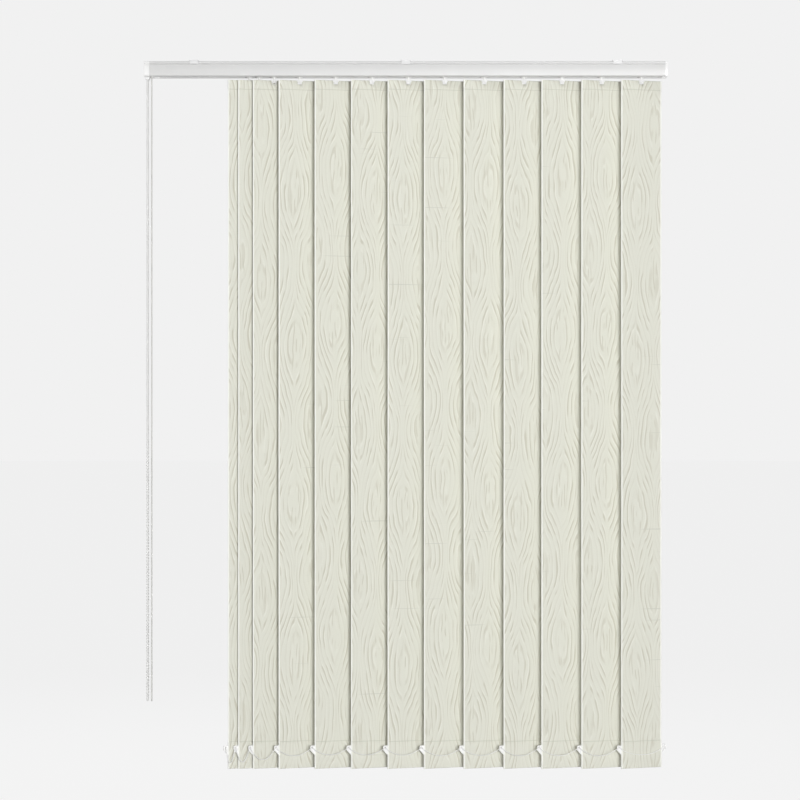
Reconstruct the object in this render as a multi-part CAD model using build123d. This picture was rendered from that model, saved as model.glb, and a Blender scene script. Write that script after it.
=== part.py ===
from build123d import *
from math import cos, degrees, radians, sin, tan
import os

# A vertical blind: thirteen fabric louvres hang from carriers in a white aluminium
# headrail, and a light chain links their bottom weights. It is drawn most of the way
# across and tilted nearly closed.
# Origin: middle of the fixing brackets' top face. +X runs along the headrail to the
# end where the louvres stack, -Y faces the room, +Z is up. Millimetres.

# Headrail
overall_width = 1047.0
rail_depth = 45.0
rail_height = 30.0
rail_wall = 1.5
lip_inset = 0.8
groove_depth = 1.6
groove_top = 4.4
groove_height = 1.0
slot_width = 17.0
slot_lip_height = 3.0

# Brackets
bracket_plate = 2.3
bracket_gap = 0.3
bracket_width = 20.0
bracket_leg = 1.1
bracket_spacing = 423.6
screw_hole_radius = 2.3
screw_head_radius = 4.6

# Louvres and their rest position, counted from the lead louvre at the control end
louvre_width = 89.0
louvre_length = 1379.0
louvre_drop = 36.6
fabric = 0.5
pocket_layer = 0.45
top_pocket = 18.4
bottom_pocket = 54.2
rest_tilt = 21.0
rest_gaps = [20.2, 29.4, 51.6, 72.2, 72.8, 73.2, 72.8, 79.4, 80.0, 75.6, 80.0, 79.8]
last_carrier_inset = 50.7

# Carriers and their spacers
carrier_width = 13.6
least_pitch = 14.0
greatest_pitch = 80.0
housing_half = 9.8
wing_half = 17.5
housing_top = 3.2
wing_bottom = 17.6
housing_bottom = 26.5
hub_radius = 6.4
hub_bottom = 31.2
wheel_radius = 4.9
wheel_inner = 10.9
wheel_outer = 16.4
wheel_gap = 0.3
axle_radius = 1.2
spacer_levels = 7
spacer_step = 1.0
spacer_thickness = 0.5
spacer_top = 5.0
spacer_height = 7.2
spacer_window = 3.0
spacer_head = 2.5
channel_half = 3.6
channel_top = 4.6
channel_floor = 12.4
tooth_length = 1.2
tooth_height = 2.6

# Stem, hook, hanger and bottom weight
stem_radius = 3.0
stem_fit = 0.05
stem_top = 15.0
collar_radius = 4.4
collar_top = 17.8
collar_bottom = 20.0
neck_radius = 2.0
hook_centre = 37.8
hook_half = 5.9
hook_rise = 3.4
hook_wire = 1.8
hook_thickness = 1.0
hook_stand = 0.2
peg_half = 1.5
peg_height = 1.3
hanger_thickness = 1.2
hanger_half = 40.0
hanger_eye_half = 3.2
notch_half = 4.7
notch_depth = 7.4
weight_thickness = 1.8
weight_height = 46.2
weight_half = 43.4
lug_reach = 9.5
lug_head = 9.0
lug_height = 19.2
lug_hole_radius = 1.6
lug_hole_reach = 5.5
lug_hole_drop = 4.0
lug_loop_wire = 1.9

# Tilt rod, sprocket and the two end caps
rod_radius = 3.0
rod_y = 8.5
rod_drop = 13.5
rod_fit = 0.1
rod_clearance = 0.4
control_cap_width = 10.6
return_cap_width = 4.0
control_plug = 13.0
return_plug = 11.0
plug_gap = 0.3
sprocket_width = 6.6
sprocket_radius = 9.5
flange_thickness = 1.0

# Cords
chain_radius = 2.0
chain_end_drop = 1281.0
cord_radius = 1.0
cord_end_drop = 1280.0
strand_y = (-15.0, -7.0)
strand_drop = 9.0
guide_radius = 3.2
cord_clearance = 0.3
link_radius = 0.85
link_bead_radius = 1.2
link_bead_height = 1.7
link_stand = 5.2
link_sags = [28.0, 26.0, 22.0, 14.8, 13.0, 13.2, 13.6, 14.4, 14.0, 14.6, 14.2, 14.8]

# Sizes that follow from the ones above
louvre_count = len(rest_gaps) + 1
rail_top = -(bracket_plate + bracket_gap)
left_end = -overall_width / 2
right_end = overall_width / 2
rail_left = left_end + control_cap_width
rail_right = right_end - return_cap_width
half_depth = rail_depth / 2
inner_half = half_depth - lip_inset - groove_depth - rail_wall
last_carrier_x = right_end - last_carrier_inset
carrier_x = [last_carrier_x - sum(rest_gaps[n:]) for n in range(louvre_count)]
ledge_drop = rail_height - rail_wall
wheel_drop = ledge_drop - wheel_gap - wheel_radius
rod_z = rail_top - rod_drop
chain_x = left_end + control_cap_width / 2 - 0.25
cord_x = rail_left + 4.2
strand_z = rail_top - strand_drop
louvre_top = rail_top - louvre_drop
louvre_bottom = louvre_top - louvre_length
weight_bottom = louvre_bottom + pocket_layer + 0.25
lug_top = weight_bottom + weight_height
lug_hole_x = -(louvre_width / 2 + lug_hole_reach)
lug_hole_z = lug_top - lug_hole_drop
cloth_front = hanger_thickness / 2 + 0.15 + pocket_layer
hook_back = -(cloth_front + hook_stand)
hook_front = hook_back - hook_thickness
peg_bottom = hook_centre + hook_rise
peg_top = peg_bottom - peg_height


def block(x0, x1, y0, y1, z0, z1):
    """A box between two corners."""
    return Pos((x0 + x1) / 2, (y0 + y1) / 2, (z0 + z1) / 2) * Box(x1 - x0, y1 - y0, z1 - z0)


def bar_x(x0, x1, y, z, radius):
    """A round bar along X."""
    return Pos((x0 + x1) / 2, y, z) * Rot(0, 90, 0) * Cylinder(radius, x1 - x0)


def bar_y(x, y0, y1, z, radius):
    """A round bar along Y."""
    return Pos(x, (y0 + y1) / 2, z) * Rot(90, 0, 0) * Cylinder(radius, y1 - y0)


def bar_z(x, y, z0, z1, radius):
    """A round bar along Z."""
    return Pos(x, y, (z0 + z1) / 2) * Cylinder(radius, z1 - z0)


def along_x(section, start, length):
    """Carries a section drawn in Y and Z along X."""
    return extrude(Plane.YZ.offset(start) * section, amount=length, dir=(1, 0, 0))


def along_y(section, front, back):
    """Carries a section drawn in X and Z from the front to the back."""
    return extrude(Plane.XZ.offset(-front) * section, amount=back - front, dir=(0, 1, 0))


def one_solid(shape):
    """The single solid of a boolean's result."""
    return shape.solids().sort_by(SortBy.VOLUME)[-1]


def tube(points, radii, section):
    """A section carried along straight runs joined by arcs."""
    path = FilletPolyline(*points, radius=radii)
    return sweep(Plane(origin=path @ 0, z_dir=path % 0) * section, path=path)


def bend_radii(points):
    """The largest arc that the two runs at each corner leave room for."""
    radii = []
    for before, corner, after in zip(points, points[1:], points[2:]):
        run_in, run_out = Vector(*corner) - Vector(*before), Vector(*after) - Vector(*corner)
        half_turn = radians(run_in.get_angle(run_out)) / 2
        radii.append(0.45 * min(run_in.length, run_out.length) / tan(half_turn))
    return radii


def outer_side(side):
    """The headrail's outer edge on one side, from the middle of its top to its slot."""
    face, lip = half_depth, half_depth - lip_inset
    groove = lip - groove_depth
    below = groove_top + groove_height + 0.8
    shape = [
        (0, 0),
        (lip - 0.8, 0),
        (lip, -0.8),
        (lip, 0.8 - groove_top),
        (groove, -groove_top),
        (groove, -groove_top - groove_height),
        (lip, -below),
    ]
    foot = [(lip - 0.2, 2.0 - rail_height), (lip - 2.2, -rail_height), (slot_width / 2, -rail_height)]
    place = lambda y, z: (side * y, rail_top + z)
    middle = place(face, -(below + rail_height - 2.0) / 2)
    return [
        Polyline(*[place(*p) for p in shape]),
        ThreePointArc(place(*shape[-1]), middle, place(*foot[0])),
        Polyline(*[place(*p) for p in foot]),
    ]


def inner_side(side):
    """The headrail's inner edge on one side, from its slot to the middle of its top."""
    wall = half_depth - lip_inset - rail_wall
    below = groove_top + groove_height + 1.8
    low = rail_height - rail_wall
    lips = [
        (slot_width / 2, -rail_height),
        (slot_width / 2, slot_lip_height - rail_height),
        (slot_width / 2 + rail_wall, slot_lip_height - rail_height),
        (slot_width / 2 + rail_wall, -low),
        (wall - 2.0, -low),
        (wall - 0.2, 1.6 - low),
    ]
    top = [(wall, -below), (inner_half, 0.8 - below), (inner_half, -rail_wall), (0, -rail_wall)]
    place = lambda y, z: (side * y, rail_top + z)
    middle = place(half_depth - rail_wall, -(below + low - 1.6) / 2)
    return [
        Polyline(*[place(*p) for p in lips]),
        ThreePointArc(place(*lips[-1]), middle, place(*top[0])),
        Polyline(*[place(*p) for p in top]),
    ]


def edges_of(lines):
    return [edge for line in lines for edge in line.edges()]


def headrail():
    """The extruded channel, notched at the control end where the draw cord comes out."""
    section = make_face(edges_of(outer_side(1) + inner_side(1) + inner_side(-1) + outer_side(-1)))
    channel = along_x(section, rail_left, rail_right - rail_left)
    notch = block(
        rail_left - 1, cord_x + 6, strand_y[0] - 2, -slot_width / 2 + 1,
        rail_top - rail_height - 1, rail_top - rail_height + slot_lip_height + 0.5,
    )
    return one_solid(channel - notch)


def cap_outline():
    """The headrail's outline closed across its slot."""
    bridge = Line(
        (-slot_width / 2, rail_top - rail_height), (slot_width / 2, rail_top - rail_height)
    )
    return make_face(edges_of(outer_side(1) + outer_side(-1) + [bridge]))


def plug(x0, x1):
    """The block of an end cap that pushes into the headrail, with a tongue in its slot."""
    half = inner_half - plug_gap
    lip_top = rail_top - rail_height + slot_lip_height
    body = block(x0, x1, -half, half, lip_top + plug_gap, rail_top - rail_wall - plug_gap)
    tongue_half = slot_width / 2 - plug_gap
    tongue = block(
        x0, x1, -tongue_half, tongue_half, rail_top - rail_height + 0.1, lip_top + plug_gap
    )
    return body + tongue


def control_end_cap():
    """Housing of the tilt chain's sprocket, with the chain's guard and the draw cord's guide."""
    housing = along_x(cap_outline(), left_end, control_cap_width)
    housing += plug(rail_left, rail_left + control_plug)
    nub_start = rail_left + control_plug
    housing += block(
        nub_start - 3, nub_start + 5, -slot_width / 2 + 1, slot_width / 2 - 1,
        rail_top - rail_height - 1.5, rail_top - rail_height + slot_lip_height,
    )
    guard_top, guard_bottom = rail_top - rail_height, rail_top - rail_height - 4.2
    wide = 2 * (sprocket_radius + chain_radius) + 3.6
    guard = loft(
        [
            Pos(chain_x, rod_y, guard_top) * Rectangle(control_cap_width - 1, wide),
            Pos(chain_x, rod_y, guard_bottom) * Rectangle(2 * chain_radius + 2.6, wide - 2.6),
        ]
    )
    housing += guard
    housing -= bar_x(
        chain_x - sprocket_width / 2 - 0.25, chain_x + sprocket_width / 2 + 0.25,
        rod_y, rod_z, sprocket_radius + chain_radius + 0.7,
    )
    for side in (-1, 1):
        housing -= bar_z(
            chain_x, rod_y + side * sprocket_radius, guard_bottom - 1, rod_z,
            chain_radius + cord_clearance,
        )
    housing -= bar_x(chain_x, nub_start + 6, rod_y, rod_z, rod_radius + rod_fit)
    pocket_front, pocket_back = strand_y[0] - 1.5, strand_y[1] + 1.5
    housing -= block(
        cord_x - cord_radius - cord_clearance - 0.3, nub_start - 3, pocket_front, pocket_back,
        rail_top - rail_height - 2, strand_z + cord_radius + 0.6,
    )
    housing -= block(
        nub_start - 3.5, nub_start + 0.5, pocket_front, pocket_back,
        strand_z - 2.4, strand_z + cord_radius + 0.6,
    )
    turn = guide_radius + cord_clearance + cord_radius
    housing += bar_y(
        cord_x + turn, pocket_front - 0.2, pocket_back + 0.2, strand_z - turn, guide_radius
    )
    return one_solid(housing)


def return_end_cap():
    """Cap at the stacking end, with the tilt rod's bearing and the draw cord's return post."""
    cap = along_x(cap_outline(), rail_right, return_cap_width)
    cap += plug(rail_right - return_plug, rail_right)
    cap += block(
        rail_right - 6, rail_right + 1, -slot_width / 2 + 1, slot_width / 2 - 1,
        rail_top - rail_height - 1.2, rail_top - rail_height + slot_lip_height,
    )
    cap -= bar_x(rail_right - return_plug - 1, rail_right - 3.5, rod_y, rod_z, rod_radius + rod_fit)
    middle, spread = sum(strand_y) / 2, (strand_y[1] - strand_y[0]) / 2
    post_x = rail_right - spread - cord_radius - 1.5
    cap -= block(
        rail_right - return_plug - 1, rail_right - 0.5, strand_y[0] - 2, strand_y[1] + 2,
        strand_z - 2, strand_z + 2,
    )
    cap += bar_z(post_x, middle, strand_z - 2.2, strand_z + 2.2, spread - cord_radius - cord_clearance)
    return one_solid(cap)


def tilt_rod():
    """A round rod with three grooves, which turns every carrier's worm."""
    section = Circle(rod_radius)
    for turn in range(3):
        section -= Rot(0, 0, 120 * turn) * Pos(0, rod_radius + 0.2) * Circle(0.9)
    start = chain_x - sprocket_width / 2
    end = rail_right - 4.0
    return one_solid(Pos(0, rod_y, rod_z) * along_x(section, start, end - start))


def chain_sprocket():
    """The wheel on the tilt rod's end that the tilt chain runs over."""
    start = chain_x - sprocket_width / 2
    core = bar_x(
        start, start + sprocket_width, rod_y, rod_z, sprocket_radius - chain_radius - cord_clearance
    )
    for side in (-1, 1):
        middle = chain_x + side * (sprocket_width - flange_thickness) / 2
        core += bar_x(
            middle - flange_thickness / 2, middle + flange_thickness / 2, rod_y, rod_z,
            sprocket_radius + 1.6,
        )
    for turn in range(9):
        angle = radians(40 * turn + 20)
        core -= bar_x(
            start - 1, start + sprocket_width + 1,
            rod_y + 5.4 * cos(angle), rod_z + 5.4 * sin(angle), 1.0,
        )
    return one_solid(core - bar_x(start - 1, start + sprocket_width + 1, rod_y, rod_z, rod_radius + 0.02))


def bracket(x):
    """A top fixing bracket: a plate under the lintel whose legs grip the rail's grooves."""
    outer = half_depth - lip_inset + 0.25 + bracket_leg
    corner = 1.5
    plan = RectangleRounded(bracket_width, 2 * outer, corner)
    plate = Pos(0, 0, -bracket_plate) * extrude(plan, amount=bracket_plate, dir=(0, 0, 1))
    toe_top = rail_top - groove_top - 0.1
    toe_bottom = rail_top - groove_top - groove_height + 0.1
    half = bracket_width / 2 - corner
    for side in (-1, 1):
        leg_in, leg_out = sorted((side * (outer - bracket_leg), side * outer))
        plate += block(-half, half, leg_in, leg_out, toe_bottom, -bracket_plate)
        tip = side * (half_depth - lip_inset - groove_depth + 0.4)
        toe_in, toe_out = sorted((tip, side * outer))
        plate += block(-half, half, toe_in, toe_out, toe_bottom, toe_top)
    plate -= bar_z(0, 0, -bracket_plate - 1, 1, screw_hole_radius)
    sink = bracket_plate - 1.0
    plate -= Pos(0, 0, -bracket_plate + sink / 2) * Cone(screw_head_radius, screw_hole_radius, sink)
    return Pos(x, 0, 0) * one_solid(plate)


def level_y(level):
    """Where the spacer of one level lies in the carriers' channel."""
    return (level - (spacer_levels - 1) / 2) * spacer_step


def carrier_housing(level, tooth_level):
    """The moulded carrier: wings with axles, a hub through the rail's slot and the channel."""
    half = carrier_width / 2
    z = lambda drop: rail_top - drop
    housing = block(-half, half, -wing_half, wing_half, z(wing_bottom), z(housing_top))
    housing += block(-half, half, -housing_half, housing_half, z(housing_bottom), z(housing_top))
    housing = fillet(housing.edges().filter_by(Axis.X).group_by(Axis.Z)[-1], 1.2)
    housing += bar_y(0, -wheel_outer - 0.5, wheel_outer + 0.5, z(wheel_drop), axle_radius)
    housing += bar_z(0, 0, z(hub_bottom), z(housing_bottom - 1), hub_radius)
    housing -= block(-half - 1, half + 1, -channel_half, channel_half, z(channel_floor), z(channel_top))
    tooth = level_y(tooth_level)
    housing += block(
        -tooth_length / 2, tooth_length / 2, tooth - spacer_thickness / 2,
        tooth + spacer_thickness / 2, z(channel_floor + 0.2), z(channel_floor - tooth_height),
    )
    root = level_y(level)
    housing -= block(
        1, 5, root - spacer_thickness / 2, root + spacer_thickness / 2,
        z(channel_floor + 1), z(channel_floor),
    )
    housing -= bar_x(-half - 1, half + 1, rod_y, rod_z, rod_radius + rod_clearance)
    for strand in strand_y:
        housing -= bar_x(-half - 1, half + 1, strand, strand_z, cord_radius + cord_clearance)
    housing -= bar_z(0, 0, z(hub_bottom + 1), z(stem_top - 0.3), stem_radius + stem_fit)
    housing -= bar_z(0, 0, z(collar_bottom + 0.05), z(collar_top - 0.2), collar_radius + 0.3)
    return one_solid(housing)


def wheels():
    """The two wheels that run on the rail's ledges, on stub axles."""
    made = []
    for side in (-1, 1):
        y0, y1 = sorted((side * wheel_inner, side * wheel_outer))
        z = rail_top - wheel_drop
        rim = bar_y(0, y0, y1, z, wheel_radius) - bar_y(0, y0 - 1, y1 + 1, z, axle_radius + 0.1)
        made.append(one_solid(rim))
    return made


def spacer(level):
    """The strip that draws the next carrier along: its window slides over that one's tooth."""
    y0, y1 = level_y(level) - spacer_thickness / 2, level_y(level) + spacer_thickness / 2
    top, bottom = rail_top - spacer_top, rail_top - spacer_top - spacer_height
    reach = greatest_pitch + tooth_length / 2 + 0.1
    near = least_pitch - tooth_length / 2 - 0.1
    strip = block(-reach - spacer_head, 6.0, y0, y1, bottom, top)
    strip -= block(-reach, -near, y0 - 1, y1 + 1, bottom - 1, bottom + spacer_window)
    strip += block(1, 5, y0, y1, rail_top - channel_floor - 1, bottom)
    return one_solid(strip)


def carrier(number):
    """One carrier with its wheels, and its spacer unless it is the lead one."""
    level, tooth_level = number % spacer_levels, (number + 1) % spacer_levels
    pieces = [carrier_housing(level, tooth_level), *wheels()]
    if number > 0:
        pieces.append(spacer(level))
    return [Pos(carrier_x[number], 0, 0) * piece for piece in pieces]


def stem():
    """The turning stem with its collar, its neck, the eye in front of the louvre and the
    barbed peg that reaches back from the eye through the louvre's notch."""
    z = lambda drop: rail_top - drop
    neck_end = hook_centre - hook_rise + 1.4
    made = bar_z(0, 0, z(hub_bottom), z(stem_top), stem_radius)
    made += bar_z(0, 0, z(collar_bottom), z(collar_top), collar_radius)
    made += bar_z(0, 0, z(neck_end), z(hub_bottom), neck_radius)
    made += block(-neck_radius, neck_radius, hook_front, 0, z(neck_end), z(neck_end - 2.0))
    eye = Ellipse(hook_half, hook_rise) - Ellipse(hook_half - hook_wire, hook_rise - hook_wire)
    eye += Rectangle(hook_wire, 2 * hook_rise - hook_wire)
    made += along_y(Pos(0, z(hook_centre)) * eye, hook_front, hook_back)
    barb = hanger_thickness / 2 + 0.35
    made += block(-peg_half, peg_half, hook_back - 0.2, barb + 1.0, z(peg_bottom), z(peg_top))
    made += block(-peg_half, peg_half, barb, barb + 1.0, z(peg_top), z(peg_top - 1.3))
    return one_solid(made)


def hanger():
    """The plate in the louvre's top pocket, whose holed tab hangs on the stem's peg."""
    top = louvre_top - pocket_layer - 0.3
    bottom = louvre_top - top_pocket + 1.4
    eye_top = rail_top - peg_top
    eye_bottom = louvre_top - notch_depth + 0.8
    plate = Pos(0, (top + bottom) / 2) * RectangleRounded(2 * hanger_half, top - bottom, 2.5)
    plate -= Pos(0, (top + eye_bottom) / 2) * Rectangle(2 * notch_half, top - eye_bottom + 1)
    tab_half, tab_top = hanger_eye_half + 1.2, eye_top + 1.6
    plate += Pos(0, (tab_top + bottom) / 2) * Rectangle(2 * tab_half, tab_top - bottom)
    plate -= Pos(0, (eye_top + eye_bottom) / 2) * Rectangle(2 * hanger_eye_half, eye_top - eye_bottom)
    return one_solid(along_y(plate, -hanger_thickness / 2, hanger_thickness / 2))


def lug_outline(side, inset):
    """A lug: a rounded head beside the louvre's edge that tapers down to it."""
    edge = side * (louvre_width / 2 - 1.5 + inset)
    tip = side * (louvre_width / 2 + lug_reach - inset)
    top, base = lug_top - inset, lug_top - lug_height + 1.6 * inset
    points = [
        (edge, top), (tip, top), (tip, lug_top - lug_head + 0.5 * inset),
        (edge + side * 1.5, base), (edge, base),
    ]
    shape = make_face(Polyline(*points, close=True).edges())
    head = shape.vertices().group_by(Axis.X)[-1 if side > 0 else 0]
    return fillet(head, max(3.2 - inset, 0.8))


def bottom_weight():
    """The weighted plate in the bottom pocket: a holed lug on one edge, a loop on the other."""
    top, bottom = lug_top, weight_bottom
    plate = Pos(0, (top + bottom) / 2) * RectangleRounded(2 * weight_half, top - bottom, 3)
    plate += lug_outline(-1, 0)
    plate -= Pos(lug_hole_x, lug_hole_z) * Circle(lug_hole_radius)
    plate += lug_outline(1, 0)
    plate -= lug_outline(1, lug_loop_wire)
    return one_solid(along_y(plate, -weight_thickness / 2, weight_thickness / 2))


def louvre():
    """The fabric strip with an open-ended pocket at each end, notched for the hook."""
    sheet = fabric / 2
    top_half = cloth_front
    bottom_half = weight_thickness / 2 + 0.15 + pocket_layer
    seam_top = louvre_top - top_pocket
    seam_bottom = louvre_bottom + bottom_pocket
    right = [
        (top_half, louvre_top), (top_half, seam_top), (sheet, seam_top - 1.5),
        (sheet, seam_bottom + 1.5), (bottom_half, seam_bottom), (bottom_half, louvre_bottom),
    ]
    left = [(-y, z) for y, z in reversed(right)]
    section = make_face(Polyline(*right, *left, close=True).edges())
    for half, low, high in (
        (top_half, seam_top + 0.8, louvre_top - pocket_layer),
        (bottom_half, louvre_bottom + pocket_layer, seam_bottom - 0.8),
    ):
        section -= Pos(0, (low + high) / 2) * Rectangle(2 * (half - pocket_layer), high - low)
    strip = along_x(section, -louvre_width / 2, louvre_width)
    strip -= block(-notch_half, notch_half, -4, 4, louvre_top - notch_depth, louvre_top + 1)
    return one_solid(strip)


def in_place(number, piece):
    """Sets a louvre's piece under its carrier, turned to the rest tilt."""
    return Pos(carrier_x[number], 0, 0) * Rot(0, 0, rest_tilt) * piece


def lug_hole(number):
    """The middle of a louvre's lug hole, a little above where the link chain's bead sits."""
    turn = radians(rest_tilt)
    return carrier_x[number] + lug_hole_x * cos(turn), lug_hole_x * sin(turn), lug_hole_z


def link_route(number):
    """The link chain from one louvre's lug to the next one's, sagging in front of them."""
    (x0, y, z), (x1, _, _) = lug_hole(number), lug_hole(number + 1)
    start, end, front = x0 + 0.95, x1 - 0.95, y - link_stand
    span, sag = end - start, link_sags[number]
    slack = [(0.12, 0.52), (0.36, 1.08), (0.64, 1.08), (0.88, 0.52)]
    hang = [(start + f * span, front, z - depth * sag) for f, depth in slack]
    return [(start, y - 1.2, z), (start, front, z), *hang, (end, front, z), (end, y - 1.9, z)]


def link_bead(number):
    """The bead that holds the link chain in a lug's hole."""
    x, y, z = lug_hole(number)
    return Pos(x, y, z - 0.1) * Cylinder(link_bead_radius, link_bead_height)


def hanging_loop(x, y, top, bottom, near, far, radius):
    """A loop of cord: two straight legs that part a little towards a round lower end."""
    turn = [(-1.0, 0.4142), (-0.4142, 1.0)]
    centre = bottom + far
    left = [
        (x, y - near, top),
        (x, y - near, bottom + 175),
        (x, y - (near + far) / 2, bottom + 95),
        (x, y - far - 0.4, bottom + 52),
        (x, y - far - 0.6, bottom + 27),
    ]
    left += [(x, y + far * side, centre - far * down) for side, down in turn]
    right = [(px, 2 * y - py, pz + 0.6) for px, py, pz in reversed(left[1:-2])]
    right = [(x, y + far * -side, centre - far * down) for side, down in reversed(turn)] + right
    return left + right + [(x, y + near, top)]


def control_chain():
    """The tilt chain: its hanging loop, and the half turn over the sprocket."""
    points = hanging_loop(
        chain_x, rod_y, rod_z, rail_top - chain_end_drop, sprocket_radius, 14.0, chain_radius
    )
    radii = bend_radii(points)
    print("control_chain radii", [round(r, 1) for r in radii])
    loop = tube(points, radii, Circle(chain_radius))
    front, back = (chain_x, rod_y - sprocket_radius, rod_z), (chain_x, rod_y + sprocket_radius, rod_z)
    over = ThreePointArc(front, (chain_x, rod_y, rod_z + sprocket_radius), back)
    wrap = sweep(Plane(origin=over @ 0, z_dir=over % 0) * Circle(chain_radius), path=over)
    return [one_solid(loop), one_solid(wrap)]


def pull_cord():
    """The draw cord: its hanging loop, and the run along the rail round the return post."""
    turn = guide_radius + cord_clearance + cord_radius
    plug_end = rail_left + control_plug
    front, back = strand_y
    spread = (back - front) / 2
    loop = hanging_loop(
        cord_x, (front + back) / 2, strand_z, rail_top - cord_end_drop, spread, 7.0, cord_radius
    )
    points = [(plug_end, front, strand_z), *loop, (plug_end, back, strand_z)]
    radii = bend_radii(points)
    radii[0] = radii[-1] = turn
    print("pull_cord radii", [round(r, 1) for r in radii])
    hanging = tube(points, radii, Circle(cord_radius))
    far_x = rail_right - cord_radius - 1.5
    run = [(plug_end, front), (far_x, front), (far_x, back), (plug_end, back)]
    inner = tube([(x, y, strand_z) for x, y in run], [spread - 0.05] * 2, Circle(cord_radius))
    return [one_solid(hanging), one_solid(inner)]


def link_chain(number):
    """One bead, and the chain from it to the next louvre's lug."""
    pieces = [link_bead(number).solid()]
    if number < louvre_count - 1:
        points = link_route(number)
        radii = bend_radii(points)
        print(f"chain_{number + 1:02d} radii", [round(r, 1) for r in radii])
        pieces.append(one_solid(tube(points, radii, RegularPolygon(link_radius, 8))))
    return pieces


def save(name, pieces):
    """Writes one node's solids."""
    os.makedirs("parts", exist_ok=True)
    shape = pieces[0] if len(pieces) == 1 else Compound(children=pieces)
    export_step(shape, f"parts/{name}.step")


save("headrail", [headrail()])
save("control_end_cap", [control_end_cap()])
save("return_end_cap", [return_end_cap()])
save("brackets", [bracket(side * bracket_spacing) for side in (-1, 0, 1)])
save("tilt_rod", [tilt_rod()])
save("chain_sprocket", [chain_sprocket()])
save("control_chain", control_chain())
save("pull_cord", pull_cord())

louvre_strip, stem_piece, hanger_piece, weight_piece = louvre(), stem(), hanger(), bottom_weight()
for n in range(louvre_count):
    save(f"carrier_{n + 1:02d}", carrier(n))
    save(f"louvre_{n + 1:02d}", [in_place(n, louvre_strip)])
    save(f"fittings_{n + 1:02d}", [in_place(n, p) for p in (stem_piece, hanger_piece, weight_piece)])
    save(f"chain_{n + 1:02d}", link_chain(n))
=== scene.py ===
import math

import bmesh
import bpy
import numpy as np
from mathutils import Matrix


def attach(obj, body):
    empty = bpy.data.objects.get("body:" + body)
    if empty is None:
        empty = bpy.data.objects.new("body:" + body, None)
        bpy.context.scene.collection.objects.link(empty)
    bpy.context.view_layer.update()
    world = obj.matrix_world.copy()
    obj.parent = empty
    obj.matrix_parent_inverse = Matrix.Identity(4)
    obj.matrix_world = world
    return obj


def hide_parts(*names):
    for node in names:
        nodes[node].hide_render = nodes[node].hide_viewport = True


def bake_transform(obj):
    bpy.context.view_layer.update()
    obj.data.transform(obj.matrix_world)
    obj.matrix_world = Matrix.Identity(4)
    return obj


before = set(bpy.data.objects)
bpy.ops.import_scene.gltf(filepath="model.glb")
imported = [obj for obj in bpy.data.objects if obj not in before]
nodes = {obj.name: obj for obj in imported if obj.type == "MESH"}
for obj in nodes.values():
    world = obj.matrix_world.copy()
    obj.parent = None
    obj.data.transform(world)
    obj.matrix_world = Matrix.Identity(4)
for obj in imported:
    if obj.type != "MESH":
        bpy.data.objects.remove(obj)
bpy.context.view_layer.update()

# Camera, lamps and floor
# The blind is seen square on, from about six metres away and half way down its drop.
# Three soft lamps light it in a pale studio, whose floor and sky meet almost unseen.
camera = bpy.data.objects.new("camera", bpy.data.cameras.new("camera"))
bpy.context.scene.collection.objects.link(camera)
camera.location = (-0.0115, -6.02, -0.680)
camera.rotation_euler = (math.radians(90), 0, 0)
camera.data.lens = 135
camera.data.sensor_width = 36
camera.data.clip_end = 60
bpy.context.scene.camera = camera
bpy.context.scene.view_settings.view_transform = "Standard"


def studio_lamp(name, place, target, width, height, power):
    """A soft rectangular lamp at place that faces target."""
    lamp = bpy.data.objects.new(name, bpy.data.lights.new(name, "AREA"))
    lamp.data.shape = "RECTANGLE"
    lamp.data.size, lamp.data.size_y, lamp.data.energy = width, height, power
    bpy.context.scene.collection.objects.link(lamp)
    away = np.array(place) - np.array(target)
    lamp.location = place
    lamp.rotation_euler = (
        math.atan2(math.hypot(away[0], away[1]), away[2]),
        0,
        math.atan2(away[0], -away[1]),
    )


studio_lamp("front_lamp", (1.10, -6.0, -0.80), (0, 0, -0.7), 1.60, 0.80, 251)
studio_lamp("top_lamp", (0.60, -2.6, 2.6), (0, 0, -0.7), 1.40, 1.00, 22)
studio_lamp("rear_lamp", (-0.8, 5.2, 2.3), (0, 0, -0.7), 1.2, 1.2, 110)


def seen_directly(tree):
    """One where the camera, a reflection or a clear piece looks straight at a backdrop."""
    rays = tree.nodes.new("ShaderNodeLightPath")
    either = rays.outputs["Is Camera Ray"]
    for kind in ("Is Glossy Ray", "Is Transmission Ray"):
        larger = tree.nodes.new("ShaderNodeMath")
        larger.operation = "MAXIMUM"
        tree.links.new(either, larger.inputs[0])
        tree.links.new(rays.outputs[kind], larger.inputs[1])
        either = larger.outputs[0]
    return either


def pale_level(tree, unseen, seen, socket):
    """Feeds a strength that is unseen for the light and seen for the camera."""
    level = tree.nodes.new("ShaderNodeMapRange")
    level.inputs["To Min"].default_value, level.inputs["To Max"].default_value = unseen, seen
    tree.links.new(seen_directly(tree), level.inputs["Value"])
    tree.links.new(level.outputs["Result"], socket)


world = bpy.data.worlds.new("studio")
bpy.context.scene.world = world
world.use_nodes = True
world.node_tree.nodes["Background"].inputs["Color"].default_value = (1.0, 1.0, 1.0, 1)
pale_level(world.node_tree, 0.17, 0.88, world.node_tree.nodes["Background"].inputs["Strength"])

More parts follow.
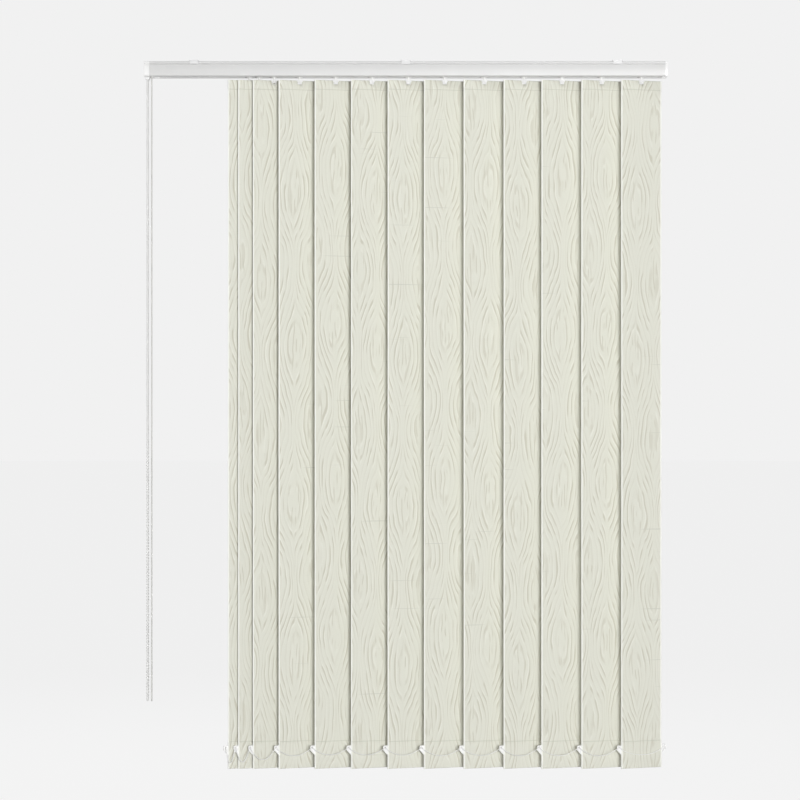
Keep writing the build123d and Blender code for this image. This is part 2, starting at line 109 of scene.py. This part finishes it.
floor_mesh = bpy.data.meshes.new("studio_floor")
floor_mesh.from_pydata([(-90, -90, -1.9), (90, -90, -1.9), (90, 90, -1.9), (-90, 90, -1.9)], [], [(0, 1, 2, 3)])
floor = bpy.data.objects.new("studio_floor", floor_mesh)
bpy.context.scene.collection.objects.link(floor)
floor_paint = bpy.data.materials.new("floor_paint")
floor_paint.use_nodes = True
floor_shader = floor_paint.node_tree.nodes["Principled BSDF"]
floor_tone = floor_paint.node_tree.nodes.new("ShaderNodeMix")
floor_tone.data_type = "RGBA"
floor_tone.inputs[6].default_value, floor_tone.inputs[7].default_value = (0.8, 0.8, 0.8, 1), (0.08, 0.08, 0.08, 1)
floor_paint.node_tree.links.new(seen_directly(floor_paint.node_tree), floor_tone.inputs[0])
floor_paint.node_tree.links.new(floor_tone.outputs[2], floor_shader.inputs["Base Color"])
floor_shader.inputs["Roughness"].default_value = 1.0
floor_shader.inputs["Specular IOR Level"].default_value = 0.0
floor_shader.inputs["Emission Color"].default_value = (1, 1, 1, 1)
pale_level(floor_paint.node_tree, 0.0, 0.852, floor_shader.inputs["Emission Strength"])
floor_mesh.materials.append(floor_paint)


# Tilt chain
# The endless chain of white moulded beads that turns the tilt rod. It runs over the
# sprocket in the left end cap and hangs free to about the height of a table top.
def smooth_line(name, route):
    """Points on the smooth spline that has the route's points as its control points."""
    curve = bpy.data.curves.new(name, "CURVE")
    curve.dimensions = "3D"
    spline = curve.splines.new("NURBS")
    spline.points.add(len(route) - 1)
    weighted = np.column_stack([np.array(route, float), np.ones(len(route))])
    spline.points.foreach_set("co", weighted.ravel().astype(np.float32))
    spline.order_u = 3
    spline.use_endpoint_u = True
    spline.resolution_u = 24
    holder = bpy.data.objects.new(name, curve)
    bpy.context.scene.collection.objects.link(holder)
    mesh = bpy.data.meshes.new_from_object(holder)
    found = np.empty(3 * len(mesh.vertices))
    mesh.vertices.foreach_get("co", found)
    bpy.data.objects.remove(holder)
    bpy.data.curves.remove(curve)
    bpy.data.meshes.remove(mesh)
    return found.reshape(-1, 3)


def woven_grid(name, points, lay, round_section=False, keep=None, second_lay=None):
    """A mesh of four-sided faces on a grid of points. lay gives each grid point's place on
    the material; keep says which faces stay; a round section's last column meets its first
    and its ends close to a point."""
    rows, columns = points.shape[:2]
    last = columns if round_section else columns - 1
    i, j = np.meshgrid(np.arange(rows - 1), np.arange(last), indexing="ij")
    beside = (j + 1) % columns
    faces = np.stack(
        [i * columns + j, i * columns + beside, (i + 1) * columns + beside, (i + 1) * columns + j], -1
    )
    chosen = np.ones(faces.shape[:2], bool) if keep is None else keep
    faces = faces[chosen]
    used, faces = np.unique(faces, return_inverse=True)
    faces = faces.reshape(-1, 4)
    mesh = bpy.data.meshes.new(name)
    mesh.from_pydata(points.reshape(-1, 3)[used].tolist(), [], faces.tolist())
    for title, place in (("lay", lay), ("roll", second_lay)):
        if place is not None:
            corners = np.stack([place[i, j], place[i, j + 1], place[i + 1, j + 1], place[i + 1, j]], 2)
            layer = mesh.uv_layers.new(name=title)
            layer.data.foreach_set("uv", corners[chosen].reshape(-1).astype(np.float32))
    mesh.polygons.foreach_set("use_smooth", np.ones(len(mesh.polygons), bool))
    if round_section:
        closed = bmesh.new()
        closed.from_mesh(mesh)
        bmesh.ops.remove_doubles(closed, verts=closed.verts[:], dist=1e-8)
        closed.to_mesh(mesh)
        closed.free()
    mesh.update()
    piece = bpy.data.objects.new(name, mesh)
    bpy.context.scene.collection.objects.link(piece)
    return piece


def tube_along(name, line, step, around, radius_at, side):
    """A tube carried along a line: a ring of points stands square to the line at each step,
    at the radius that radius_at gives for the distance along it. The line never runs along
    the direction side, which keeps the rings from twisting."""
    along = np.concatenate([[0.0], np.cumsum(np.linalg.norm(np.diff(line, axis=0), axis=1))])
    distance = np.linspace(0, along[-1], int(round(along[-1] / step)) + 1)
    centre = np.column_stack([np.interp(distance, along, line[:, k]) for k in range(3)])
    ahead = np.gradient(centre, axis=0)
    ahead /= np.linalg.norm(ahead, axis=1)[:, None]
    across = np.cross(ahead, np.array(side, float))
    across /= np.linalg.norm(across, axis=1)[:, None]
    other = np.cross(ahead, across)
    angle = np.linspace(0, 2 * np.pi, around + 1)
    ring = np.cos(angle[:-1])[None, :, None] * across[:, None] + np.sin(angle[:-1])[None, :, None] * other[:, None]
    radius = radius_at(distance)
    radius[[0, -1]] = 0.0
    points = centre[:, None] + radius[:, None, None] * ring
    lay = np.stack(np.meshgrid(distance, angle / (2 * np.pi), indexing="ij"), -1)
    return woven_grid(name, points, lay, round_section=True), centre


def bead_radius(pitch, bead, thread):
    """The radius along a bead chain: round beads of radius bead, one each pitch, on a thread."""

    def radius(distance):
        from_middle = np.abs((distance / pitch) % 1.0 - 0.5) * pitch
        return np.sqrt(np.maximum(bead**2 - from_middle**2, thread**2))

    return radius


def shader_of(name):
    """A new material with its node tree and its shader."""
    material = bpy.data.materials.new(name)
    material.use_nodes = True
    return material, material.node_tree, material.node_tree.nodes["Principled BSDF"]


def put(tree, kind, links=(), **settings):
    """Adds a node: settings are its own options, links are pairs of input and value or socket."""
    node = tree.nodes.new(kind)
    for option, value in settings.items():
        setattr(node, option, value)
    for place, value in links:
        if isinstance(value, bpy.types.NodeSocket):
            tree.links.new(value, node.inputs[place])
        else:
            node.inputs[place].default_value = value
    return node


def blend_of(tree, factor, first, second):
    """A colour between first and second."""
    mix = put(tree, "ShaderNodeMix", data_type="RGBA")
    for place, value in ((0, factor), (6, first), (7, second)):
        if isinstance(value, bpy.types.NodeSocket):
            tree.links.new(value, mix.inputs[place])
        else:
            mix.inputs[place].default_value = value
    return mix.outputs[2]


def moulded_plastic(name, colour, worn, roughness, grain):
    """Moulded plastic: a faint cloudy colour, a fine grain and slightly uneven gloss."""
    material, tree, shader = shader_of(name)
    where = put(tree, "ShaderNodeTexCoord").outputs["Object"]
    cloud = put(tree, "ShaderNodeTexNoise", [("Vector", where), ("Scale", 34.0), ("Detail", 3.0)])
    fine = put(tree, "ShaderNodeTexNoise", [("Vector", where), ("Scale", grain), ("Detail", 2.0)])
    tree.links.new(blend_of(tree, cloud.outputs["Fac"], colour, worn), shader.inputs["Base Color"])
    gloss = put(
        tree, "ShaderNodeMapRange",
        [("Value", cloud.outputs["Fac"]), ("To Min", roughness - 0.06), ("To Max", roughness + 0.08)],
    )
    tree.links.new(gloss.outputs["Result"], shader.inputs["Roughness"])
    bump = put(tree, "ShaderNodeBump", [("Height", fine.outputs["Fac"]), ("Strength", 0.12), ("Distance", 0.0002)])
    tree.links.new(bump.outputs["Normal"], shader.inputs["Normal"])
    return material


def dressed(node, material):
    """Gives a node of the frame its finish."""
    nodes[node].data.materials.clear()
    nodes[node].data.materials.append(material)


chain_plastic = moulded_plastic(
    "chain_plastic", (0.90, 0.90, 0.89, 1), (0.86, 0.86, 0.85, 1), 0.34, 900.0
)
chain_x, rod_y, rod_z = -0.51845, 0.0085, -0.0161
chain_low = -1.2836
chain_offsets = [
    (-0.0095, rod_z), (-0.0095, chain_low + 0.175), (-0.01175, chain_low + 0.095),
    (-0.0144, chain_low + 0.052), (-0.0146, chain_low + 0.027),
    (-0.0140, chain_low + 0.0082), (-0.0058, chain_low),
    (0.0058, chain_low), (0.0140, chain_low + 0.0082),
    (0.0146, chain_low + 0.0276), (0.0144, chain_low + 0.0526),
    (0.01175, chain_low + 0.0956), (0.0095, chain_low + 0.1756), (0.0095, rod_z),
]
chain_line = smooth_line("tilt_chain", [(chain_x, rod_y + y, z) for y, z in chain_offsets])
tilt_chain, chain_path = tube_along(
    "tilt_chain", chain_line, 0.00075, 8, bead_radius(0.006, 0.0020, 0.00065), (1, 0, 0)
)
tilt_chain.data.materials.append(chain_plastic)
turn = np.linspace(0, np.pi, 25)
over_line = np.column_stack(
    [np.full(25, chain_x), rod_y - 0.0095 * np.cos(turn), rod_z + 0.0095 * np.sin(turn)]
)
tilt_chain_over, _ = tube_along(
    "tilt_chain_over_sprocket", over_line, 0.00075, 8, bead_radius(0.006, 0.0020, 0.00065), (1, 0, 0)
)
tilt_chain_over.data.materials.append(chain_plastic)
for piece in (tilt_chain, tilt_chain_over):
    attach(piece, "rail")
    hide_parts("control_chain")


# Draw cord
# A braided white polyester cord, two millimetres thick. One loop hangs beside the tilt
# chain; the rest runs along the rail through the carriers and round the right end's post.
def braided_cord(name):
    """Braid: two families of fine slanting strands, which cross over and under. The low parts between the strands are
    painted darker, as shade in the grooves.
    """
    material, tree, shader = shader_of(name)
    lay = put(tree, "ShaderNodeUVMap", uv_map="lay").outputs["UV"]
    part = put(tree, "ShaderNodeSeparateXYZ", [("Vector", lay)])
    along = put(tree, "ShaderNodeMath", [(0, part.outputs["X"]), (1, 2 * np.pi / 0.0022)], operation="MULTIPLY")
    round_it = put(tree, "ShaderNodeMath", [(0, part.outputs["Y"]), (1, 2 * np.pi * 4)], operation="MULTIPLY")
    strands = []
    for operation in ("ADD", "SUBTRACT"):
        slant = put(tree, "ShaderNodeMath", [(0, along.outputs[0]), (1, round_it.outputs[0])], operation=operation)
        wave = put(tree, "ShaderNodeMath", [(0, slant.outputs[0])], operation="SINE")
        strands.append(wave.outputs[0])
    woven = put(tree, "ShaderNodeMath", [(0, strands[0]), (1, strands[1])], operation="MAXIMUM")
    height = put(tree, "ShaderNodeMapRange", [("Value", woven.outputs[0]), ("From Min", -1.0), ("From Max", 1.0)])
    # Painted shade: the braid is coloured darker where it is low, in the grooves between strands.
    tree.links.new(
        blend_of(tree, height.outputs["Result"], (0.50, 0.50, 0.47, 1), (0.80, 0.80, 0.77, 1)),
        shader.inputs["Base Color"],
    )
    shader.inputs["Roughness"].default_value = 0.75
    bump = put(tree, "ShaderNodeBump", [("Height", height.outputs["Result"]), ("Strength", 0.6), ("Distance", 0.0003)])
    tree.links.new(bump.outputs["Normal"], shader.inputs["Normal"])
    return material


cord_braid = braided_cord("cord_braid")
cord_x, cord_y, strand_z, plug_end = -0.5087, -0.011, -0.0116, -0.4999
cord_low = -1.2826
cord_offsets = [
    (-0.0040, strand_z), (-0.0040, strand_z - 0.012), (-0.0040, cord_low + 0.175), (-0.0055, cord_low + 0.095),
    (-0.0074, cord_low + 0.052), (-0.0076, cord_low + 0.027),
    (-0.0070, cord_low + 0.0041), (-0.0029, cord_low),
    (0.0029, cord_low), (0.0070, cord_low + 0.0041),
    (0.0076, cord_low + 0.0276), (0.0074, cord_low + 0.0526),
    (0.0055, cord_low + 0.0956), (0.0040, cord_low + 0.1756), (0.0040, strand_z - 0.012), (0.0040, strand_z),
]
cord_route = [(plug_end, cord_y - 0.004, strand_z)]
cord_route += [(cord_x, cord_y + y, z) for y, z in cord_offsets]
cord_route += [(plug_end, cord_y + 0.004, strand_z)]
cord_line = smooth_line("draw_cord", cord_route)
draw_cord, cord_path = tube_along(
    "draw_cord", cord_line, 0.0022, 8, lambda s: np.full(len(s), 0.001), (0.5, 0.05, 0.4)
)
run_end = 0.5170
run_route = [
    (plug_end, cord_y - 0.004, strand_z), (run_end - 0.010, cord_y - 0.004, strand_z),
    (run_end - 0.002, cord_y - 0.0038, strand_z), (run_end, cord_y, strand_z),
    (run_end - 0.002, cord_y + 0.0038, strand_z), (run_end - 0.010, cord_y + 0.004, strand_z),
    (plug_end, cord_y + 0.004, strand_z),
]
run_line = smooth_line("draw_cord_in_rail", run_route)
draw_cord_in_rail, run_path = tube_along(
    "draw_cord_in_rail", run_line, 0.0022, 8, lambda s: np.full(len(s), 0.001), (0, 0, 1)
)
for piece in (draw_cord, draw_cord_in_rail):
    piece.data.materials.append(cord_braid)
    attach(piece, "rail")
    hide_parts("pull_cord")


# Link chains
# Fine white bead chain, clipped into the lug of each bottom weight, which keeps the
# louvres a set distance apart at the foot. It hangs in shallow loops in front of them.
louvre_count = 13
rest_tilt = math.radians(21.0)
rest_gaps = [20.2, 29.4, 51.6, 72.2, 72.8, 73.2, 72.8, 79.4, 80.0, 75.6, 80.0, 79.8]
last_carrier = 0.4728
carrier_x = [last_carrier - sum(rest_gaps[n:]) / 1000 for n in range(louvre_count)]
lug_reach, lug_z = -0.0500, -1.3753
link_sags = [28.0, 26.0, 22.0, 14.8, 13.0, 13.2, 13.6, 14.4, 14.0, 14.6, 14.2, 14.8]


def lug_hole(number):
    """The middle of a louvre's lug hole."""
    return np.array(
        [carrier_x[number] + lug_reach * math.cos(rest_tilt), lug_reach * math.sin(rest_tilt), lug_z]
    )


def link_route(number):
    """The link chain's route from one lug to the next, sagging a little in front of both."""
    (x0, y, z), (x1, _, _) = lug_hole(number), lug_hole(number + 1)
    start, end, front = x0 + 0.00095, x1 - 0.00095, y - 0.0052
    slack = [(0.12, 0.52), (0.36, 1.08), (0.64, 1.08), (0.88, 0.52)]
    sag = link_sags[number] / 1000
    hang = [(start + f * (end - start), front, z - depth * sag) for f, depth in slack]
    return [(start, y - 0.0012, z), (start, front, z), *hang, (end, front, z), (end, y - 0.0019, z)]


link_beads = bead_radius(0.0034, 0.00085, 0.00045)
lug_bead_radius = 0.0012
theta, phi = np.meshgrid(np.linspace(0, np.pi, 9), np.linspace(0, 2 * np.pi, 13)[:-1], indexing="ij")
ball = np.stack([np.sin(theta) * np.cos(phi), np.sin(theta) * np.sin(phi), -np.cos(theta)], -1)
for n in range(louvre_count - 1):
    here, there = f"{n + 1:02d}", f"{n + 2:02d}"
    route = link_route(n)
    link, link_path = tube_along(
        f"link_chain_{here}", smooth_line("link", route), 0.00042, 7, link_beads, (-0.7, 0.7, 0.1)
    )
    link.data.materials.append(chain_plastic)
    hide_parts(f"chain_{here}")
    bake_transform(link)
    lug_bead_centre = lug_hole(n) - np.array([0, 0, 0.0001])
    lug_bead = woven_grid(
        f"lug_bead_{here}", lug_bead_centre + lug_bead_radius * ball, np.zeros((9, 13, 2)), round_section=True
    )
    lug_bead.data.materials.append(chain_plastic)
    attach(lug_bead, f"link_{here}")
    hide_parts(f"chain_{here}")
dressed("chain_13", chain_plastic)


def on_louvre(number, u, n, z):
    """A point of a hanging louvre: u across it, n behind its face, z in height."""
    cosine, sine = math.cos(rest_tilt), math.sin(rest_tilt)
    return np.stack(np.broadcast_arrays(carrier_x[number] + u * cosine - n * sine, u * sine + n * cosine, z), -1)


end_u = np.array([-0.0490, -0.0490, -0.0435, -0.030, -0.010, 0.010, 0.028, 0.0415, 0.0475, 0.0475])
end_n = np.array([-0.0018, -0.0048, -0.0048, -0.0046, -0.0046, -0.0046, -0.0046, -0.0048, -0.0048, -0.0012])
end_drop = np.array([0.0, 0.0, 0.0055, 0.0118, 0.0158, 0.0162, 0.0122, 0.0062, 0.0010, 0.0010])
end_route = on_louvre(12, end_u, end_n, lug_z - end_drop)
end_chain, end_path = tube_along(
    "link_chain_end", smooth_line("end", end_route), 0.00042, 7, link_beads, (-0.6, 0.8, 0.1)
)
end_chain.data.materials.append(chain_plastic)
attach(end_chain, "vane_13")


# Headrail and its brackets
# A channel of extruded aluminium with a white satin powder coat, held by three coated
# spring-steel brackets that clip over its top edges.
def powder_coat(name, colour, shade, roughness):
    """Powder coat: a fine orange-peel bump, an even colour and a soft sheen."""
    material, tree, shader = shader_of(name)
    where = put(tree, "ShaderNodeTexCoord").outputs["Object"]
    cloud = put(tree, "ShaderNodeTexNoise", [("Vector", where), ("Scale", 9.0), ("Detail", 2.0)])
    peel = put(tree, "ShaderNodeTexNoise", [("Vector", where), ("Scale", 520.0), ("Detail", 1.0)])
    tree.links.new(blend_of(tree, cloud.outputs["Fac"], colour, shade), shader.inputs["Base Color"])
    gloss = put(
        tree, "ShaderNodeMapRange",
        [("Value", peel.outputs["Fac"]), ("To Min", roughness - 0.04), ("To Max", roughness + 0.06)],
    )
    tree.links.new(gloss.outputs["Result"], shader.inputs["Roughness"])
    bump = put(tree, "ShaderNodeBump", [("Height", peel.outputs["Fac"]), ("Strength", 0.10), ("Distance", 0.0003)])
    tree.links.new(bump.outputs["Normal"], shader.inputs["Normal"])
    return material


dressed("headrail", powder_coat("rail_coat", (0.66, 0.66, 0.655, 1), (0.63, 0.63, 0.625, 1), 0.42))
dressed("brackets", powder_coat("bracket_coat", (0.76, 0.76, 0.76, 1), (0.72, 0.72, 0.72, 1), 0.38))

# End caps
# White moulded plastic. The left one houses the sprocket and guides the chain and the
# cord; the right one carries the rod's end and the cord's return post.
cap_plastic = moulded_plastic("cap_plastic", (0.88, 0.88, 0.88, 1), (0.84, 0.84, 0.83, 1), 0.28, 700.0)
dressed("control_end_cap", cap_plastic)
dressed("return_end_cap", cap_plastic)


# Tilt rod and sprocket
# A drawn aluminium rod with three grooves turns every carrier's worm. The sprocket on
# its left end is moulded.
def drawn_aluminium(name):
    """Drawn aluminium: long fine scratches along the rod."""
    material, tree, shader = shader_of(name)
    where = put(tree, "ShaderNodeTexCoord").outputs["Object"]
    stretched = put(tree, "ShaderNodeMapping", [("Vector", where), ("Scale", (6.0, 900.0, 900.0))])
    scratch = put(tree, "ShaderNodeTexNoise", [("Vector", stretched.outputs[0]), ("Scale", 1.0), ("Detail", 3.0)])
    tree.links.new(
        blend_of(tree, scratch.outputs["Fac"], (0.55, 0.56, 0.58, 1), (0.72, 0.73, 0.75, 1)),
        shader.inputs["Base Color"],
    )
    shader.inputs["Metallic"].default_value = 1.0
    gloss = put(tree, "ShaderNodeMapRange", [("Value", scratch.outputs["Fac"]), ("To Min", 0.25), ("To Max", 0.42)])
    tree.links.new(gloss.outputs["Result"], shader.inputs["Roughness"])
    return material


dressed("tilt_rod", drawn_aluminium("rod_aluminium"))
sprocket_plastic = moulded_plastic("sprocket_plastic", (0.72, 0.72, 0.70, 1), (0.66, 0.66, 0.64, 1), 0.40, 800.0)
dressed("chain_sprocket", sprocket_plastic)

# Carriers and hangers
# Each carrier is moulded in acetal with two wheels and a thin spacer strip. The stem that
# hangs from it ends in an eye, whose peg carries the louvre's hanger.
carrier_plastic = moulded_plastic("carrier_plastic", (0.80, 0.80, 0.79, 1), (0.75, 0.75, 0.73, 1), 0.38, 800.0)
hook_plastic = moulded_plastic("hook_plastic", (0.92, 0.92, 0.91, 1), (0.88, 0.88, 0.87, 1), 0.30, 900.0)
for n in range(louvre_count):
    dressed(f"carrier_{n + 1:02d}", carrier_plastic)
    dressed(f"fittings_{n + 1:02d}", hook_plastic)


# Louvres
# Strips of 89 mm jacquard cloth, stiffened and heat-cut. The top is folded over a
# hanger and the foot over a weight, and each fold is welded to the strip.
louvre_width = 0.089
louvre_top, louvre_foot = -0.0392, -1.4182
top_seam, foot_seam = louvre_top - 0.0184, louvre_foot + 0.0542
cloth = 0.00045
top_half, foot_half, flap_half = 0.000975, 0.001275, 0.00046
notch_depth = 0.0074
notch_half = 0.0047
ogee_width, ogee_height, eye_height = 0.078, 0.311, 0.2366
line_pitch, stroke_pitch = 0.0092, 0.0068


def eased(first, last, count):
    """Numbers from first to last that leave and arrive gently."""
    t = np.linspace(0, 1, count)
    return first + (last - first) * t * t * (3 - 2 * t)


def strip_profile():
    """The strip's line from the free edge of its top fold, over the top, down the front to
    the foot and up to the free edge of the foot's fold, as pairs of depth and height."""
    turn = np.linspace(0, np.pi, 9)
    parts = [
        (np.full(3, flap_half), np.linspace(top_seam - 0.0034, top_seam - 0.0006, 3)),
        (eased(flap_half, top_half, 7)[1:], np.linspace(top_seam - 0.0006, top_seam + 0.004, 7)[1:]),
        (np.full(2, top_half), np.array([louvre_top - notch_depth, louvre_top - 0.0045])),
        (top_half * np.cos(turn), louvre_top - top_half - cloth / 2 + top_half * np.sin(turn)),
        (np.full(2, -top_half), np.array([louvre_top - 0.0045, louvre_top - notch_depth])),
        (eased(-top_half, 0, 8), np.linspace(top_seam + 0.004, top_seam - 0.003, 8)),
        (np.zeros(118), np.linspace(top_seam - 0.003, foot_seam + 0.003, 120)[1:-1]),
        (eased(0, -foot_half, 9), np.linspace(foot_seam + 0.003, foot_seam - 0.005, 9)),
        (np.full(5, -foot_half), np.linspace(foot_seam - 0.005, louvre_foot + 0.004, 7)[1:-1]),
        (-foot_half * np.cos(turn), louvre_foot + foot_half + cloth / 2 - foot_half * np.sin(turn)),
        (np.full(5, foot_half), np.linspace(louvre_foot + 0.004, foot_seam - 0.005, 7)[1:-1]),
        (eased(foot_half, flap_half, 7), np.linspace(foot_seam - 0.005, foot_seam + 0.0006, 7)),
        (np.full(2, flap_half), np.linspace(foot_seam + 0.0006, foot_seam + 0.0034, 3)[1:]),
    ]
    return np.column_stack([np.concatenate([p[0] for p in parts]), np.concatenate([p[1] for p in parts])])


profile = strip_profile()
cut_length = np.concatenate([[0.0], np.cumsum(np.linalg.norm(np.diff(profile, axis=0), axis=1))])
columns = np.concatenate([
    [-0.0445, -0.0441, -0.0425], np.linspace(-0.038, -0.0100, 6), [-notch_half, -0.0024, 0, 0.0024, notch_half],
    np.linspace(0.0100, 0.038, 6), [0.0425, 0.0441, 0.0445],
])


def louvre_strip(number):
    """One louvre: the profile carried across its width, with a slow bow and a faint curl of
    the edges that both die out at the stiff hanger and weight."""
    height = profile[:, 1][:, None]
    share = np.clip((louvre_top - 0.02 - height) / (louvre_top - louvre_foot - 0.09), 0, 1)
    loose = np.sin(np.pi * share) ** 0.6 * (share > 0) * (share < 1)
    across = columns[None, :] / (louvre_width / 2)
    own = number * 1.7
    bow = 0.00055 * math.sin(own) * (1 - across**2)
    curl = 0.00030 * across**4 * np.sin(5.1 * share + own)
    drift = 0.00025 * across * np.sin(9.0 * share + 2.3 * own)
    depth = profile[:, 0][:, None] + loose * (bow + curl + drift)
    points = on_louvre(number, columns[None, :], depth, height)
    lay = np.stack(np.broadcast_arrays(columns[None, :], cut_length[:, None]), -1)
    shift_u = 2 * number * ogee_width + 0.013 * math.sin(2.1 * number + 1.0)
    shift_v = 3 * number * ogee_height + 0.036 * math.sin(1.9 * number + 0.4)
    roll = lay + np.array([shift_u, shift_v])
    rows = 0.5 * (profile[1:, 1] + profile[:-1, 1])
    middles = 0.5 * (columns[1:] + columns[:-1])
    notch = (rows[:, None] > louvre_top - notch_depth) & (np.abs(middles)[None, :] < notch_half)
    strip = woven_grid(f"cloth_louvre_{number + 1:02d}", points, lay, keep=~notch, second_lay=roll)
    solid = strip.modifiers.new("thickness", "SOLIDIFY")
    solid.thickness, solid.offset = cloth, 0.0
    return strip


def jacquard(name):
    """Jacquard cloth: long wavy grain lines that part and close round tall eyes in a soft
    ogee lattice, a crosswise rib, a few slub threads, weld lines and a painted highlight
    along both cut edges.
    near is the distance to the middle line of the nearest eyes, and a grain line lies where
    near / line_pitch, less a sway that goes with the height, is a whole number."""
    material, tree, shader = shader_of(name)

    def calc(operation, *values):
        return put(tree, "ShaderNodeMath", list(enumerate(values)), operation=operation).outputs[0]

    roll = put(tree, "ShaderNodeUVMap", uv_map="roll").outputs["UV"]
    lay = put(tree, "ShaderNodeUVMap", uv_map="lay").outputs["UV"]
    part = put(tree, "ShaderNodeSeparateXYZ", [("Vector", roll)])
    u, v = part.outputs["X"], part.outputs["Y"]

    def drift(across, along, detail):
        stretched = put(tree, "ShaderNodeMapping", [("Vector", roll), ("Scale", (across, along, 1.0))]).outputs[0]
        noise = put(tree, "ShaderNodeTexNoise", [("Vector", stretched), ("Scale", 1.0), ("Detail", detail)])
        return calc("SUBTRACT", noise.outputs["Fac"], 0.5)

    def ramp(value, low, high):
        return put(
            tree, "ShaderNodeMapRange", [("Value", value), ("From Min", low), ("From Max", high)],
            interpolation_type="SMOOTHSTEP",
        ).outputs["Result"]

    across = calc("MULTIPLY_ADD", drift(0.0, 5.0, 0.0), 0.012, u)
    across = calc("MULTIPLY_ADD", drift(26.0, 22.0, 1.0), 0.006, across)
    wide = calc("MULTIPLY", across, 2 * np.pi / ogee_width)
    tall = calc("MULTIPLY", calc("SUBTRACT", v, eye_height), 2 * np.pi / ogee_height)
    near = calc("PINGPONG", across, ogee_width / 2)
    eye = ramp(calc("MULTIPLY", calc("COSINE", wide), calc("COSINE", tall)), 0.35, 0.75)
    fold = calc("ABSOLUTE", calc("SINE", wide))
    sway = calc("MULTIPLY", calc("COSINE", tall), calc("MULTIPLY_ADD", ramp(fold, 0.0, 0.75), 0.7, 1.4))
    lines = calc("SUBTRACT", calc("MULTIPLY", near, 1 / line_pitch), sway)
    lines = calc("MULTIPLY_ADD", drift(14.0, 6.0, 1.0), 1.5, lines)
    lines = calc("MULTIPLY_ADD", drift(50.0, 16.0, 1.0), 1.0, lines)
    turn = calc("MULTIPLY", lines, 2 * np.pi)
    strength = calc("MULTIPLY_ADD", ramp(drift(70.0, 14.0, 1.0), -0.08, 0.08), 0.80, 0.20)
    strength = calc("MULTIPLY", strength, calc("MULTIPLY_ADD", ramp(fold, 0.08, 0.40), 0.70, 0.30))
    strength = calc("MULTIPLY", strength, calc("MULTIPLY_ADD", eye, -0.45, 1.0))
    dark_line = calc("MULTIPLY", ramp(calc("SINE", turn), 0.10, 0.90), strength)
    waver = calc("MULTIPLY_ADD", drift(30.0, 16.0, 1.0), 0.012, across)
    stroke = ramp(calc("SINE", calc("MULTIPLY", waver, 2 * np.pi / stroke_pitch)), 0.30, 1.0)
    stroke = calc("MULTIPLY", calc("MULTIPLY", stroke, ramp(drift(85.0, 22.0, 1.0), -0.04, 0.08)), eye)
    dark_line = calc("MAXIMUM", dark_line, stroke)
    light_line = calc("MULTIPLY", ramp(calc("SINE", calc("ADD", turn, 1.5)), 0.35, 0.95), strength)
    ground = blend_of(tree, light_line, (0.713, 0.714, 0.630, 1), (0.780, 0.783, 0.706, 1))
    figure = blend_of(tree, dark_line, ground, (0.578, 0.562, 0.470, 1))
    ribs = put(tree, "ShaderNodeMapping", [("Vector", roll), ("Scale", (120.0, 1500.0, 1.0))]).outputs[0]
    rib = put(tree, "ShaderNodeTexNoise", [("Vector", ribs), ("Scale", 1.0), ("Detail", 2.0)]).outputs["Fac"]
    slub = ramp(drift(7.0, 300.0, 0.0), 0.30, 0.36)
    rib_tone = put(tree, "ShaderNodeMapRange", [("Value", rib), ("From Min", 0.3), ("From Max", 0.7), ("To Max", 0.16)])
    tone = blend_of(tree, rib_tone.outputs["Result"], figure, (0.56, 0.565, 0.50, 1))
    tone = blend_of(tree, calc("MULTIPLY", slub, 0.75), tone, (0.56, 0.565, 0.495, 1))
    cut = put(tree, "ShaderNodeSeparateXYZ", [("Vector", lay)])
    weld = 0.0
    for seam in weld_lines:
        from_seam = calc("ABSOLUTE", calc("SUBTRACT", cut.outputs["Y"], seam))
        line = put(
            tree, "ShaderNodeMapRange", [("Value", from_seam), ("From Min", 0.0011), ("From Max", 0.0004)]
        ).outputs["Result"]
        weld = line if weld == 0.0 else calc("MAXIMUM", weld, line)
    from_middle = calc("ABSOLUTE", cut.outputs["X"])
    # Painted highlight: a lighter strip along both cut edges, where the light catches them.
    painted_edge_highlight = put(
        tree, "ShaderNodeMapRange", [("Value", from_middle), ("From Min", 0.0416), ("From Max", 0.0426)]
    ).outputs["Result"]
    tone = blend_of(tree, calc("MULTIPLY", weld, 0.55), tone, (0.52, 0.53, 0.45, 1))
    tone = blend_of(tree, calc("MULTIPLY", painted_edge_highlight, 0.85), tone, (0.93, 0.935, 0.89, 1))
    tree.links.new(tone, shader.inputs["Base Color"])
    shader.inputs["Roughness"].default_value = 0.82
    shader.inputs["Sheen Weight"].default_value = 0.15
    shader.inputs["Sheen Roughness"].default_value = 0.5
    weave = put(tree, "ShaderNodeMapping", [("Vector", roll), ("Scale", (2600.0, 2600.0, 1.0))]).outputs[0]
    grain = put(tree, "ShaderNodeTexVoronoi", [("Vector", weave), ("Scale", 1.0)]).outputs["Distance"]
    relief = calc("ADD", calc("MULTIPLY", dark_line, -1.2), calc("MULTIPLY", grain, 0.35))
    relief = calc("ADD", relief, calc("MULTIPLY", rib, 0.5))
    relief = calc("SUBTRACT", relief, calc("MULTIPLY", weld, 2.5))
    bump = put(tree, "ShaderNodeBump", [("Height", relief), ("Strength", 0.5), ("Distance", 0.00012)])
    tree.links.new(bump.outputs["Normal"], shader.inputs["Normal"])
    return material


folded = profile[:, 0] < 0
front = np.flatnonzero(folded)
weld_lines = [
    float(np.interp(-top_seam, -profile[front[:12], 1], cut_length[front[:12]])),
    float(np.interp(-foot_seam, -profile[front, 1], cut_length[front])),
]
louvre_cloth = jacquard("louvre_cloth")
for n in range(louvre_count):
    name = f"{n + 1:02d}"
    strip = louvre_strip(n)
    strip.data.materials.append(louvre_cloth)
    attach(strip, f"vane_{name}")
    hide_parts(f"louvre_{name}")
